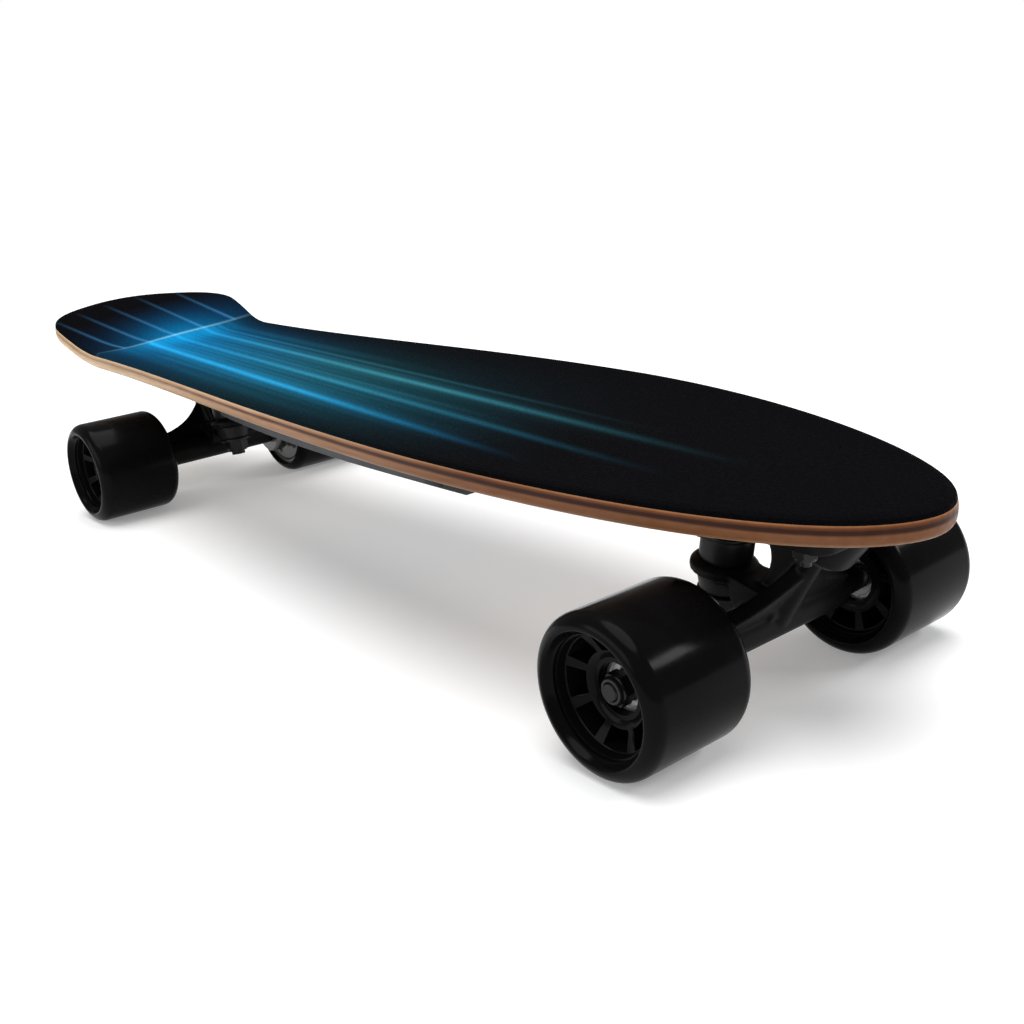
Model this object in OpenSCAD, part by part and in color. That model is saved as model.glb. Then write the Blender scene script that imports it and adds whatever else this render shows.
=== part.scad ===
// Electric skateboard: a short fish-shaped cruiser deck with a kick tail, two
// kingpin trucks, three free-rolling wheels, one hub-motor wheel at the rear left
// and a low electronics box under the deck.
//
// Frame: +X to the nose, +Y to the rider's left, +Z up. The origin is on the
// ground, under the middle of the deck's length.

/* [Deck] */
// Length of the deck from the tail's end to the nose
deck_len = 739; // [700:1:760]
// Largest width of the deck
deck_w = 179; // [170:1:190]
// Width of the deck at its waist, in front of the tail
waist_w = 140; // [130:1:148]
// Width of the tail
tail_w = 148; // [142:1:155]
// Thickness of the seven bonded plies
deck_t = 10.7; // [9:0.1:12]
// Thickness of the grip sheet
grip_t = 1; // [0.6:0.1:1.5]
// How far the grip sheet stays inside the deck's edge
grip_inset = 1; // [0.5:0.5:4]
// Height of the deck's top in its middle
deck_top_z = 105.4; // [105:0.1:107]
// Fall of the deck towards the nose, from a thicker riser pad at the rear
deck_tilt = 0.718; // [0:0.1:1]
// Angle of the kick tail
kick_angle = 17; // [12:1:20]
// Radius of the bend into the kick tail, on the top face
kick_r = 110; // [90:5:130]

/* [Wheels] */
// Diameter of every wheel
wheel_d = 70; // [66:1:72]
// Width of every wheel
wheel_w = 57; // [54:1:58]
// Radius of the wheel's rounded lips
lip_r = 7; // [4:0.5:8]
// Distance between the front and the rear axle
wheelbase = 522; // [510:1:530]
// Distance between the middles of the left and the right wheel
track = 154; // [152:1:156]

/* [Trucks] */
// Length of the bolt pattern along the deck
bolt_span_x = 53.975; // [53.975, 63.5]
// Width of the bolt pattern across the deck
bolt_span_y = 41.3; // [41:0.1:42]
// Lean of the kingpin from the vertical
kingpin_lean = 10; // [5:1:15]
// Radius of the axle tube of the hanger
tube_r = 9.5; // [8.5:0.5:10]

/* [Electronics] */
// Length of the box under the deck
box_len = 261; // [255:1:265]
// Width of the box's flange
box_w = 124; // [120:1:128]
// Height of the box's flat bottom above the ground
box_bottom_z = 64.5; // [63:0.5:66]
// Thickness of the box's wall
box_wall = 2.5; // [2:0.5:3]
// Travel of the power button
button_travel = 1.5; // [1:0.5:2]

/* [Hidden] */
$fn = 96;
play = 0.05;               // running clearance between a shaft and its bore
gap = 0.3;                 // air between parts that move past each other

// Deck plan
half_len = deck_len / 2;
widest_x = 120;            // station of the largest width
waist_x = -268.5;          // station of the waist
tail_corner = 41;          // length of the tail's rounded end
nose_power = 1.96;         // exponent of the nose's outline
tail_power = 1.96;         // exponent of the tail's outline
flat_band = 27;            // half width of the deck's flat middle
concave = 0.00125;         // rise of the deck towards its edges, per mm
kick_x = -268;             // where the kick tail starts to bend
deck_under_z = deck_top_z - deck_t;

// Trucks, in a frame with its origin at the axle's middle and +X outboard
wheel_r = wheel_d / 2;
axle_mid_x = 25;
front_x = axle_mid_x + wheelbase / 2;
rear_x = axle_mid_x - wheelbase / 2;
pattern_x = 9;             // middle of the bolt pattern
plate_t = 6.8;
plate_x0 = -31.5;
plate_x1 = 49.5;
plate_w = 56;
plate_top = 53.7;          // top of the baseplate above the axle
plate_bottom = plate_top - plate_t;
ring_x = -24;              // middle of the hanger's ring
ring_z = 19.5;
ring_t = 5.5;
ring_r = 15.5;
tube_end = 46;             // where the tube steps down to its shoulder
shoulder_r = 6.5;
arm_w = 21;                // width of the arm from the tube to the ring
gusset_t = 8;
web_half = 42;
web_t = 7;
pivot_x = 28;              // middle of the pivot's ball
pivot_z = 38.4;
ball_r = 5;
stem_len = sqrt(pivot_x * pivot_x + pivot_z * pivot_z);
stem_tilt = atan2(pivot_x, pivot_z);
kingpin_r = 4.76;
bushing_r = 12;
upper_seat = 17;           // distances along the kingpin from the ring's middle
lower_seat = -12.6;
washer_t = 1.4;
nut_low = -22;
head_low = 28.5;
head_high = 33;
bolt_r = 2.4;
bolt_end_z = 39.5;

// Wheels, in a frame with its origin at the wheel's middle and +Z outboard
half_w = wheel_w / 2;
tyre_bore = 26;
recess_r = 28.5;
recess_d = 4.5;
core_half = half_w - 5.5;
axle_r = 4;
race_r = 11;
race_w = 7;
outer_race_z = 2;          // lower face of the outer bearing
inner_race_z = -15;        // lower face of the inner bearing
seat_out_z = 13.5;
seat_in_z = -18;
washer_w = 1;
nut_face_z = outer_race_z + race_w + washer_w;
nut_end_z = nut_face_z + 7.5;
shoulder_z = inner_race_z - washer_w;
window_count = 8;
window_arc = 33;           // degrees that each window of the core spans
window_turn = 6;           // degrees that the first window lies from the X axis

// Hub motor, in the wheel's frame
can_r = 29;
can_t = 2.6;
can_half = 25;
magnet_t = 2;
magnet_count = 14;
stator_r = 23.6;
stator_half = 12;
slot_count = 12;
cover_t = 5;
shaft_r = 6;
bearing_r = 12;
bearing_w = 6;
collar_r = 16.5;
collar_z0 = -38;
collar_z1 = -28.8;
socket_z = -63;            // end of the shaft inside the hanger
hanger_end = track / 2 + collar_z0 - 0.2;
shoulder_y = track / 2 + shoulder_z;

// Electronics box
gasket_t = 1.5;
flange_t = 3;
flange_in = 8;
box_mid_x = -7;
bow_x = 18.5;              // station of the box's largest width
bow_r = 1300;
side_z = box_bottom_z + 13.5;
slope_w = 26.5;            // run of the sloping sides
end_slope = 8;             // run of the sloping ends
box_top_z = deck_under_z - gasket_t;
cell_r = 9.2;
cell_len = 65.2;
cell_pitch = 19;
cell_z = box_bottom_z + box_wall + 0.5 + cell_r;
cell_x = [-29.5, 37.9];
board_z = 81;
screw_end_z = deck_top_z - 4.5;
button_x = -53.5;
button_r = 6.5;
port_x = -89.5;
port_r = 5.5;
light_x = -71.5;
flap_hinge_x = port_x - 10;
flap_t = 1.6;
flap_axis_z = box_bottom_z - 0.3 - flap_t / 2;

// ---- Places -------------------------------------------------------------

// The tilted deck's own frame, in which its top face lies level at deck_top_z
module on_deck() translate([0, 0, deck_top_z]) rotate([0, deck_tilt, 0]) translate([0, 0, -deck_top_z])
    children();

// An axle seen from the deck's frame: its station, and its depth under the top face
function seat_x(x) = x * cos(deck_tilt) + (deck_top_z - wheel_r) * sin(deck_tilt);
function seat_depth(x) = (deck_top_z - wheel_r) * cos(deck_tilt) - x * sin(deck_tilt);

// The trucks' frames, which lean with the deck
module at_front() translate([front_x, 0, wheel_r]) rotate([0, deck_tilt, 0]) children();
module at_rear() translate([rear_x, 0, wheel_r]) rotate([0, deck_tilt, 0]) rotate([0, 0, 180])
    children();

// The kingpin's own frame: origin at the middle of the hanger's ring, +Z up the pin
module on_kingpin() translate([ring_x, 0, ring_z]) rotate([0, kingpin_lean, 0]) children();

// A frame with +Z from the axle up the hanger's stem to the pivot's ball
module on_stem() rotate([0, stem_tilt, 0]) children();

// A wheel's frame in its truck: +Z outboard; side is 1 for +Y and -1 for -Y
module on_axle(side) translate([0, side * track / 2, 0]) rotate([-90 * side, 0, 0]) children();

module pattern() {
    for (x = [-0.5, 0.5], y = [-0.5, 0.5])
        translate([pattern_x + x * bolt_span_x, y * bolt_span_y, 0]) children();
}

module ring2d(r_out, r_in) difference() {
    circle(r = r_out);
    circle(r = r_in);
}

module tube(r_out, r_in, h) linear_extrude(h) ring2d(r_out, r_in);

module rounded2d(x0, x1, w, r) {
    translate([x0 + r, -w / 2]) square([x1 - x0 - 2 * r, w]);
    translate([x0, -w / 2 + r]) square([x1 - x0, w - 2 * r]);
    for (x = [x0 + r, x1 - r], y = [-w / 2 + r, w / 2 - r]) translate([x, y]) circle(r = r);
}

module arc_sector(r_in, r_out, angle, h) rotate([0, 0, -angle / 2]) rotate_extrude(angle = angle)
    translate([r_in, 0]) square([r_out - r_in, h]);

// ---- Deck ---------------------------------------------------------------

function blend(t) = 0.5 * (1 - cos(180 * t));
function signed_pow(v, p) = pow(abs(v), p);

// Outline of one side from the nose to the tail, moved inwards by i
function nose_pts(i) = [for (a = [0 : 6 : 90])
    [widest_x + (half_len - widest_x - i) * signed_pow(cos(a), 2 / nose_power),
     (deck_w / 2 - i) * signed_pow(sin(a), 2 / nose_power)]];
function middle_pts(i) = [for (t = [0.05 : 0.05 : 1])
    [widest_x + (waist_x - widest_x) * t,
     waist_w / 2 - i + (deck_w - waist_w) / 2 * pow(1 - blend(t), 0.95)]];
function flare_pts(i) = let (x1 = -half_len + tail_corner) [for (t = [0.25 : 0.25 : 0.75])
    [waist_x + (x1 - waist_x) * t, waist_w / 2 - i + (tail_w - waist_w) / 2 * blend(t)]];
function tail_pts(i) = [for (a = [90 : -5 : 0])
    [-half_len + tail_corner - (tail_corner - i) * signed_pow(cos(a), 2 / tail_power),
     (tail_w / 2 - i) * signed_pow(sin(a), 2 / tail_power)]];
function side_pts(i) = concat(nose_pts(i), middle_pts(i), flare_pts(i), tail_pts(i));

module outline(i) {
    pts = side_pts(i);
    n = len(pts);
    polygon(concat(pts, [for (k = [n - 2 : -1 : 1]) [pts[k][0], -pts[k][1]]]));
}

// Cross-section of a sheet that follows the deck, from height z0 to z1 over the top face
function rise(y) = concave * pow(max(0, abs(y) - flat_band), 2);
section_y = [-97, -87, -77, -67, -57, -47, -37, -27, 27, 37, 47, 57, 67, 77, 87, 97];
function section_pts(z0, z1) = concat([for (y = section_y) [y, z0 + rise(y)]],
    [for (k = [len(section_y) - 1 : -1 : 0]) [section_y[k], z1 + rise(section_y[k])]]);

// The section swept along the flat, round the bend and up the tail
module swept_sheet(z0, z1) translate([0, 0, deck_top_z]) {
    translate([kick_x, 0, 0]) rotate([90, 0, 90]) linear_extrude(half_len - kick_x + 1)
        polygon(section_pts(z0, z1));
    translate([kick_x, 0, kick_r]) {
        rotate([90, 0, 0]) rotate([0, 0, 270 - kick_angle]) rotate_extrude(angle = kick_angle, $fn = 360)
            polygon([for (p = section_pts(z0, z1)) [kick_r - p[1], p[0]]]);
        rotate([0, kick_angle, 0]) translate([0.001, 0, -kick_r]) rotate([90, 0, -90])
            linear_extrude(90) polygon(section_pts(z0, z1));
    }
}

// Each truck's bolt holes in the deck's frame, with z = 0 on the deck's top face
module at_pattern(x, turn) translate([seat_x(x), 0, deck_top_z]) rotate([0, 0, turn]) pattern() children();
module at_bolts() {
    at_pattern(front_x, 0) children();
    at_pattern(rear_x, 180) children();
}

module deck() color("burlywood") difference() {
    intersection() {
        swept_sheet(-deck_t, 0);
        linear_extrude(200) outline(0);
    }
    at_bolts() {
        translate([0, 0, -50]) cylinder(r = bolt_r + 0.2, h = 100);
        translate([0, 0, -3.4]) cylinder(r1 = bolt_r + 0.2, r2 = 5.1, h = 3);
        translate([0, 0, -0.401]) cylinder(r = 5.1, h = 10);
    }
    at_box_screws() translate([0, 0, box_top_z - 5]) cylinder(r = 1.7, h = screw_end_z - box_top_z + 5.2);
}

// The grip sheet covers the bolt heads
module grip_tape() color("black") intersection() {
    swept_sheet(0, grip_t);
    linear_extrude(200) outline(grip_inset);
}

// ---- Truck fasteners -----------------------------------------------------

// A countersunk bolt that reaches this far below the deck's top face
module deck_bolt(reach) difference() {
    union() {
        translate([0, 0, -reach]) cylinder(r = bolt_r, h = reach - 0.2);
        translate([0, 0, -3.4]) cylinder(r1 = bolt_r, r2 = 4.9, h = 3);
        translate([0, 0, -0.4]) cylinder(r = 4.9, h = 0.2);
    }
    for (a = [0, 90]) rotate([0, 0, a]) translate([-2.4, -0.5, -2]) cube([4.8, 1, 3]);
}

module deck_bolts() color("dimgray") {
    at_pattern(front_x, 0) deck_bolt(seat_depth(front_x) - bolt_end_z);
    at_pattern(rear_x, 180) deck_bolt(seat_depth(rear_x) - bolt_end_z);
}

module deck_nut() translate([0, 0, plate_bottom - 5]) difference() {
    union() {
        translate([0, 0, 1.4]) cylinder(r = 5.5, h = 3.6, $fn = 6);
        cylinder(r = 4.4, h = 1.5);
    }
    translate([0, 0, -1]) cylinder(r = bolt_r, h = 8);
}

module deck_nuts() color("silver") {
    at_front() pattern() deck_nut();
    at_rear() pattern() deck_nut();
}

// ---- Trucks --------------------------------------------------------------

// The pad fills the space between the baseplate and the deck's underside
module riser_pad(x) color("black") translate([0, 0, plate_top]) difference() {
    pad_t = seat_depth(x) - deck_t - plate_top;
    linear_extrude(pad_t) difference() {
        rounded2d(plate_x0 - 1, plate_x1 + 1, plate_w + 2, 9);
        translate([ring_x + 6, 0]) circle(r = 11);
    }
    pattern() translate([0, 0, -1]) cylinder(r = bolt_r + 0.3, h = pad_t + 2);
}

module baseplate() color("#1c1c1e") difference() {
    union() {
        translate([0, 0, plate_bottom]) linear_extrude(plate_t) rounded2d(plate_x0, plate_x1, plate_w, 8);
        intersection() {
            union() {
                on_kingpin() translate([0, 0, upper_seat]) cylinder(r1 = bushing_r, r2 = 13.5, h = 24);
                on_stem() translate([0, 0, stem_len + 2]) cylinder(r1 = 13.5, r2 = 14.5, h = 24);
                translate([-18, -4, plate_bottom - 7]) cube([46, 8, 10]);
            }
            translate([-60, -40, 0]) cube([140, 80, plate_bottom + 1]);
        }
    }
    pattern() translate([0, 0, plate_bottom - 1]) cylinder(r = bolt_r + 0.3, h = plate_t + 2);
    on_kingpin() {
        cylinder(r = kingpin_r + play, h = 60);
        translate([0, 0, head_low]) cylinder(r = 8.3, h = 20);
        cylinder(r = 14.5, h = upper_seat);
    }
    on_stem() translate([0, 0, stem_len - 20]) cylinder(r = 8.5, h = 26);
    on_stem() translate([0, 0, stem_len - 40]) cylinder(r = 14, h = 42);
}

module pivot_cup() color("black") on_stem() translate([0, 0, stem_len]) difference() {
    union() {
        translate([0, 0, -1]) cylinder(r = 8.5, h = 7);
        translate([0, 0, -1]) cylinder(r = 10.5, h = 3);
    }
    sphere(r = ball_r + play);
    translate([0, 0, -8]) cylinder(r1 = 7.5, r2 = ball_r + play, h = 8);
}

module kingpin() color("silver") on_kingpin() {
    translate([0, 0, nut_low - 2.5]) cylinder(r = kingpin_r, h = head_low - nut_low + 2.5);
    translate([0, 0, head_low]) cylinder(r = 8, h = head_high - head_low);
}

module kingpin_nut() color("silver") on_kingpin() translate([0, 0, nut_low]) difference() {
    union() {
        translate([0, 0, 2]) cylinder(r = 8.2, h = lower_seat - washer_t - nut_low - 2, $fn = 6);
        cylinder(r = 6.9, h = 2.1);
    }
    translate([0, 0, -1]) cylinder(r = kingpin_r, h = 12);
}

module upper_bushing() color("#222222") on_kingpin() rotate_extrude() {
    z0 = ring_t / 2 + 0.1;
    z1 = upper_seat - washer_t;
    polygon([[5, z0], [bushing_r - 1, z0], [bushing_r, z0 + 1], [bushing_r, z1 - 1],
        [bushing_r - 1, z1], [5, z1]]);
}

module lower_bushing() color("#8a8a8a") on_kingpin() rotate_extrude() {
    z0 = lower_seat;
    z1 = -ring_t / 2 - 0.1;
    polygon([[5, z0], [9.5, z0], [10.2, z0 + 0.8], [bushing_r, z1 - 0.8], [bushing_r - 0.8, z1], [5, z1]]);
}

module bushing_washers() color("silver") on_kingpin() {
    translate([0, 0, upper_seat - washer_t]) tube(bushing_r + 0.8, kingpin_r + play, washer_t);
    translate([0, 0, lower_seat - washer_t]) tube(11, kingpin_r + play, washer_t);
}

// Height of the hanger's web over the axle, measured up the stem
function web_s(v) = 9 + 29 / (1 + pow(abs(v) / 18, 1.7));

// The hanger's tube and its stepped ends; a motor's side is a plain socket
module axle_tube(motor) {
    stepped = [[0, shoulder_y], [shoulder_r, shoulder_y], [shoulder_r, tube_end + 2], [8, tube_end + 2],
        [tube_r, tube_end]];
    other = motor ? [[tube_r, -hanger_end], [0, -hanger_end]]
        : [for (k = [len(stepped) - 1 : -1 : 0]) [stepped[k][0], -stepped[k][1]]];
    rotate([90, 0, 0]) rotate_extrude() polygon(concat(stepped, other));
}

// The web between the tube and the stem, which carries the pivot's ball
module web(motor) on_stem() {
    y1 = motor ? hanger_end - 2 : web_half;
    rotate([90, 0, 90]) translate([0, 0, -web_t / 2]) linear_extrude(web_t) polygon(concat(
        [[-web_half, 0], [y1, 0]], [for (v = [y1 : -3 : -web_half]) [v, web_s(v)]]));
    cylinder(r1 = 9, r2 = ball_r - 0.6, h = stem_len - 2);
    translate([0, 0, stem_len]) sphere(r = ball_r);
}

module hanger_casting(motor) difference() {
    union() {
        axle_tube(motor);
        web(motor);
        on_kingpin() {
            translate([0, 0, -ring_t / 2]) cylinder(r = ring_r, h = ring_t - 2);
            translate([0, 0, ring_t / 2 - 2.01]) cylinder(r1 = ring_r, r2 = ring_r - 2.5, h = 2.01);
        }
        translate([0, arm_w / 2, 0]) rotate([90, 0, 0]) linear_extrude(arm_w)
            polygon([[-16, ring_z], [-9.5, ring_z - 1], [12, 14], [11, 6], [4, -4], [-7, -2],
                [-16, ring_z - 4]]);
        // Gusset from the arm up to the stem, with a hollowed edge towards the kingpin
        translate([0, gusset_t / 2, 0]) rotate([90, 0, 0]) linear_extrude(gusset_t)
            polygon([[-1.6, 18], [1.8, 21.5], [3.9, 26], [4.6, 30], [4.2, 33.5], [3.3, 36.5], [14, 37.5], [24, 33],
                [12, 12]]);
    }
    on_kingpin() {
        translate([0, 0, -30]) cylinder(r = 7.5, h = 60);
        translate([0, 0, -40]) cylinder(r = ring_r + 0.5, h = 40 - ring_t / 2);
        translate([0, 0, ring_t / 2]) cylinder(r = ring_r + 0.5, h = 30);
    }
    rotate([90, 0, 0]) translate([0, 0, -track]) cylinder(r = axle_r, h = 2 * track);
    if (motor) rotate([90, 0, 0]) translate([0, 0, -hanger_end - 1])
        cylinder(r = shaft_r, h = hanger_end + 1 - (track / 2 + socket_z));
}

module front_hanger() color("#2a2a2c") at_front() hanger_casting(false);
// The rear truck faces backwards, so its motor side is mirrored onto the board's left
module rear_hanger() color("#2a2a2c") at_rear() mirror([0, 1, 0]) hanger_casting(true);

module axle_tip(side) on_axle(side) translate([0, 0, -track / 2]) {
    cylinder(r = axle_r, h = track / 2 + nut_end_z);
    translate([0, 0, track / 2 + nut_end_z]) cylinder(r1 = axle_r, r2 = axle_r - 0.6, h = 0.6);
}

module front_axle() color("silver") at_front() for (side = [-1, 1]) axle_tip(side);
module rear_axle() color("silver") at_rear() {
    axle_tip(1);
    on_axle(-1) translate([0, 0, -track / 2]) cylinder(r = axle_r, h = 10);
}

module axle_nut() translate([0, 0, nut_face_z]) difference() {
    union() {
        cylinder(r = 7.5, h = 5.5, $fn = 6);
        translate([0, 0, 5.4]) cylinder(r1 = 6.1, r2 = 5.4, h = nut_end_z - nut_face_z - 5.4);
    }
    translate([0, 0, -1]) cylinder(r = axle_r, h = 12);
}

module front_axle_nuts() color("gray") at_front() for (side = [-1, 1]) on_axle(side) axle_nut();
module rear_axle_nut() color("gray") at_rear() on_axle(1) axle_nut();

// Inner races, the spacer between them and the two speed washers of one wheel
module wheel_spacers() {
    for (z = [inner_race_z, outer_race_z]) translate([0, 0, z]) tube(6, axle_r, race_w);
    translate([0, 0, inner_race_z + race_w]) tube(5.4, axle_r, outer_race_z - inner_race_z - race_w);
    for (z = [inner_race_z - washer_w, outer_race_z + race_w]) translate([0, 0, z])
        tube(5.8, axle_r, washer_w);
}

module front_wheel_spacers() color("silver") at_front() for (side = [-1, 1]) on_axle(side) wheel_spacers();
module rear_wheel_spacers() color("silver") at_rear() on_axle(1) wheel_spacers();

// ---- Plain wheels ----------------------------------------------------------

module tyre_section(bore) difference() {
    union() {
        translate([0, -half_w]) square([wheel_r - lip_r, wheel_w]);
        translate([0, -half_w + lip_r]) square([wheel_r, wheel_w - 2 * lip_r]);
        for (z = [-half_w + lip_r, half_w - lip_r]) translate([wheel_r - lip_r, z]) circle(r = lip_r);
    }
    translate([-1, -half_w - 1]) square([bore + 1, wheel_w + 2]);
    for (z = [-half_w - 1, half_w - recess_d]) translate([-1, z]) square([recess_r + 1, recess_d + 1]);
}

module tyre() rotate_extrude() tyre_section(tyre_bore);

module core() difference() {
    rotate_extrude() polygon([[tyre_bore, core_half], [25.2, core_half], [24.6, 19], [17.5, 15.5],
        [14, 14.2], [13, seat_out_z], [race_r, seat_out_z], [race_r, outer_race_z], [9.4, outer_race_z],
        [9.4, inner_race_z + race_w], [race_r, inner_race_z + race_w], [race_r, seat_in_z],
        [13, seat_in_z], [14, -18.5], [17.5, -19], [24.6, -20.5], [25.2, -core_half],
        [tyre_bore, -core_half]]);
    for (k = [0 : window_count - 1]) rotate([0, 0, window_turn + k * 360 / window_count])
        translate([0, 0, -wheel_w / 2]) arc_sector(16.3, 24, window_arc, wheel_w);
}

// Outer races with their shields
module bearings() for (z = [inner_race_z, outer_race_z]) translate([0, 0, z]) {
    rotate_extrude() polygon([[9.2, 0], [race_r, 0], [race_r, race_w], [9.2, race_w], [9.2, race_w - 0.3],
        [6 + play, race_w - 0.3], [6 + play, race_w - 0.9], [9.2, race_w - 0.9], [9.2, 0.9],
        [6 + play, 0.9], [6 + play, 0.3], [9.2, 0.3]]);
}

module front_right_tyre() color("#141414") at_front() on_axle(-1) tyre();
module front_right_core() color("#202020") at_front() on_axle(-1) core();
module front_right_bearings() color("silver") at_front() on_axle(-1) bearings();
module front_left_tyre() color("#141414") at_front() on_axle(1) tyre();
module front_left_core() color("#202020") at_front() on_axle(1) core();
module front_left_bearings() color("silver") at_front() on_axle(1) bearings();
module rear_right_tyre() color("#141414") at_rear() on_axle(1) tyre();
module rear_right_core() color("#202020") at_rear() on_axle(1) core();
module rear_right_bearings() color("silver") at_rear() on_axle(1) bearings();

// ---- Hub motor --------------------------------------------------------------

module at_motor() at_rear() on_axle(-1) children();

module motor_tyre() color("#141414") at_motor() rotate_extrude() difference() {
    tyre_section(can_r);
    translate([0, can_half - 0.01]) square([can_r + 0.5, 10]);
}

module motor_can() color("dimgray") at_motor() translate([0, 0, -can_half])
    tube(can_r, can_r - can_t, 2 * can_half);

module motor_magnets() color("silver") at_motor() for (k = [0 : magnet_count - 1])
    rotate([0, 0, k * 360 / magnet_count]) translate([0, 0, -stator_half])
        arc_sector(can_r - can_t - magnet_t, can_r - can_t, 22, 2 * stator_half);

cover_r = can_r - can_t;
cover_z = can_half - cover_t;
screw_pitch_r = 20;

// Bored disc that closes one end of the can; its hub takes a bearing
module cover() difference() {
    rotate_extrude() polygon([[shaft_r + gap, cover_z + cover_t - 1], [shaft_r + gap, cover_z + cover_t],
        [cover_r - 1, cover_z + cover_t], [cover_r, cover_z + cover_t - 1], [cover_r, cover_z],
        [bearing_r + 2, cover_z], [bearing_r + 2, cover_z - 2], [bearing_r, cover_z - 2],
        [bearing_r, cover_z + cover_t - 1]]);
    for (k = [0 : 4]) rotate([0, 0, k * 72]) translate([screw_pitch_r, 0, 0]) {
        cylinder(r = 1.55, h = 40);
        translate([0, 0, cover_z + cover_t - 1.7]) cylinder(r = 2.9, h = 10);
    }
}

module motor_covers() color("gray") at_motor() {
    cover();
    mirror([0, 0, 1]) cover();
}

module cover_screws() for (k = [0 : 4]) rotate([0, 0, k * 72])
    translate([screw_pitch_r, 0, cover_z + cover_t - 1.7]) difference() {
        union() {
            cylinder(r = 2.75, h = 1.6);
            translate([0, 0, -4]) cylinder(r = 1.5, h = 4.5);
        }
        translate([0, 0, 0.6]) cylinder(r = 1.2, h = 2, $fn = 6);
    }

module motor_cover_screws() color("silver") at_motor() {
    cover_screws();
    mirror([0, 0, 1]) cover_screws();
}

module motor_bearings() color("silver") at_motor() for (m = [0, 1]) mirror([0, 0, m])
    translate([0, 0, cover_z - 2]) tube(bearing_r, shaft_r + play, bearing_w);

module motor_axle() color("silver") at_motor() {
    translate([0, 0, socket_z]) cylinder(r = shaft_r, h = can_half - 1.5 - socket_z);
    translate([0, 0, collar_z0]) cylinder(r1 = collar_r - 1, r2 = collar_r, h = 1);
    translate([0, 0, collar_z0 + 1]) cylinder(r = collar_r, h = collar_z1 - collar_z0 - 1);
}

module motor_stator() color("slategray") at_motor() translate([0, 0, -stator_half])
    linear_extrude(2 * stator_half) difference() {
        circle(r = stator_r);
        circle(r = shaft_r);
        for (k = [0 : slot_count - 1]) rotate(k * 360 / slot_count) {
            translate([11, -1.6]) square([11, 3.2]);
            translate([20, -0.7]) square([6, 1.4]);
        }
    }

// One coil on each tooth, seen as its two end turns
module motor_windings() color("#b5651d") at_motor() for (k = [0 : slot_count - 1], m = [0, 1])
    rotate([0, 0, (k + 0.5) * 360 / slot_count]) mirror([0, 0, m])
        translate([12, -2, stator_half]) cube([8.5, 4, 4]);

// ---- Electronics --------------------------------------------------------------

// A disc of large radius whose rim is one bowed, sloping side of the box
module side_disc(side, cut, z0, z1) translate([bow_x, side * (box_w / 2 - flange_in - bow_r), 0])
    rotate_extrude($fn = 720) polygon([[0, z0 + cut], [bow_r - slope_w - cut, z0 + cut],
        [bow_r - cut, side_z + cut * 0.6], [bow_r - cut, z1], [0, z1]]);

module box_solid(cut, z1) {
    x0 = box_mid_x - box_len / 2 + flange_in + cut;
    x1 = box_mid_x + box_len / 2 - flange_in - cut;
    intersection() {
        side_disc(1, cut, box_bottom_z, z1);
        side_disc(-1, cut, box_bottom_z, z1);
        translate([0, 80, 0]) rotate([90, 0, 0]) linear_extrude(160)
            polygon([[x0, z1], [x0, side_z + cut * 0.6], [x0 + end_slope, box_bottom_z + cut],
                [x1 - end_slope, box_bottom_z + cut], [x1, side_z + cut * 0.6], [x1, z1]]);
        translate([0, 0, box_bottom_z - 1]) linear_extrude(40)
            rounded2d(x0, x1, box_w - 2 * flange_in - 2 * cut, 16 - cut);
    }
}

module flange2d() intersection() {
    rounded2d(box_mid_x - box_len / 2, box_mid_x + box_len / 2, box_w, 22);
    translate([bow_x, box_w / 2 - bow_r]) circle(r = bow_r, $fn = 720);
    translate([bow_x, bow_r - box_w / 2]) circle(r = bow_r, $fn = 720);
}

box_screw_x = [for (k = [-1.5 : 1 : 1.5]) box_mid_x + k * (box_len - 60) / 3];
module at_box_screws() for (x = box_screw_x, side = [-1, 1])
    translate([x, side * (box_w / 2 - 4.5 - pow(x - bow_x, 2) / 2 / bow_r), 0]) children();

module enclosure() color("#20242c") difference() {
    union() {
        box_solid(0, box_top_z - 1);
        translate([0, 0, box_top_z - flange_t]) linear_extrude(flange_t) flange2d();
        for (y = [-6.3, 4.3]) translate([flap_hinge_x, y, flap_axis_z]) {
            translate([0, 2, 0]) rotate([90, 0, 0]) cylinder(r = 1.7, h = 2);
            translate([-1.7, 0, 0]) cube([3.4, 2, box_bottom_z - flap_axis_z + 0.5]);
        }
    }
    box_solid(box_wall, box_top_z + 5);
    at_box_screws() translate([0, 0, box_top_z - flange_t - 1]) cylinder(r = 1.9, h = 10);
    translate([button_x, 0, box_bottom_z - 1]) cylinder(r = 8, h = 10);
    translate([port_x, 0, box_bottom_z - 1]) cylinder(r = port_r, h = 10);
    translate([light_x, 0, box_bottom_z - 1]) cylinder(r = 1.5, h = 10);
    translate([box_mid_x - box_len / 2, 20, side_z + 4.5]) rotate([0, 90, 0]) cylinder(r = 3, h = 20);
    for (side = [-1, 1]) translate([flap_hinge_x, side * 5.3, 0]) mirror([0, side < 0 ? 1 : 0, 0])
        translate([0, 1.1, flap_axis_z]) rotate([90, 0, 0]) cylinder(r = flap_t / 2 + play, h = 2.2);
}

// Space under the deck's curved underside, over the box
module under_deck() translate([-200, 0, deck_top_z]) rotate([90, 0, 90]) linear_extrude(400)
    polygon(concat([[-97, -60], [97, -60]],
        [for (k = [len(section_y) - 1 : -1 : 0]) [section_y[k], rise(section_y[k]) - deck_t]]));

module enclosure_gasket() color("black") difference() {
    intersection() {
        translate([0, 0, box_top_z]) linear_extrude(12) flange2d();
        under_deck();
    }
    box_solid(box_wall, box_top_z + 20);
    at_box_screws() translate([0, 0, box_top_z - 1]) cylinder(r = 1.9, h = 20);
}

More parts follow.
